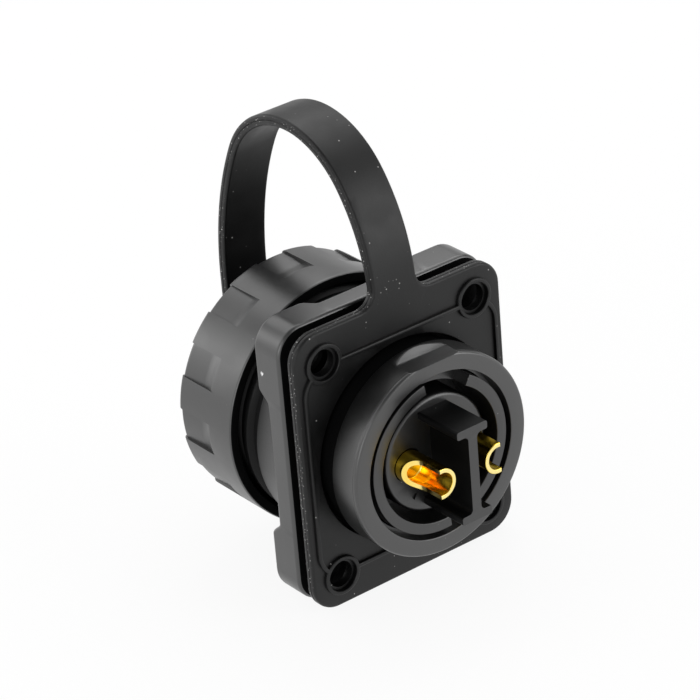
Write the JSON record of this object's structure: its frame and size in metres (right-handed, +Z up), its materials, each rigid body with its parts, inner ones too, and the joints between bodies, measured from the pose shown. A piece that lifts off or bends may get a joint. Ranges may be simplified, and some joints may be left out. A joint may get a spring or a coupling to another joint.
{
  "type": "circular panel socket",
  "caption": "Round panel power socket with a flanged plastic shell, solder-cup contacts, a rubber gasket moulded in one with a tether strap, and a screwed dust cap.",
  "frame": {"origin": "centre of the four-hole pattern, on the face that meets the panel", "axes": "+X right as seen from the solder side, +Y along the socket's axis to the mating side, +Z up to the strap"},
  "size_m": [0.0273, 0.0393, 0.0472],
  "materials": {
    "shell_plastic": "satin",
    "insert_plastic": "satin",
    "cap_plastic": "satin",
    "gasket_rubber": "matte",
    "seal_rubber": "matte",
    "contact_gold": "gold plated",
    "swivel_steel": "plain"
  },
  "bodies": {
    "housing": {"flange_shell": "shell_plastic", "gasket_tether": "gasket_rubber", "contact_insert": "insert_plastic", "contact_left": "contact_gold", "contact_right": "contact_gold", "retaining_ring": "insert_plastic", "insert_seal": "seal_rubber"},
    "swivel": {"tether_washer": "swivel_steel"},
    "cap": {"cap_shell": "cap_plastic", "cap_seal": "seal_rubber", "tether_screw": "swivel_steel"}
  },
  "joints": [
    {"name": "cap_lift", "type": "slide", "parent": "housing", "child": "swivel", "axis": [0, 1, 0], "range_m": [0, 0.005], "deforming": ["gasket_tether"]},
    {"name": "cap_turn", "type": "hinge", "parent": "swivel", "child": "cap", "pos_m": [0, 0.0155, 0], "axis": [0, 1, 0], "range_deg": [0, 900]}
  ],
  "couplings": [
    {"joint": "cap_turn", "follows": "cap_lift", "rad_per_m": 3141.6}
  ]
}
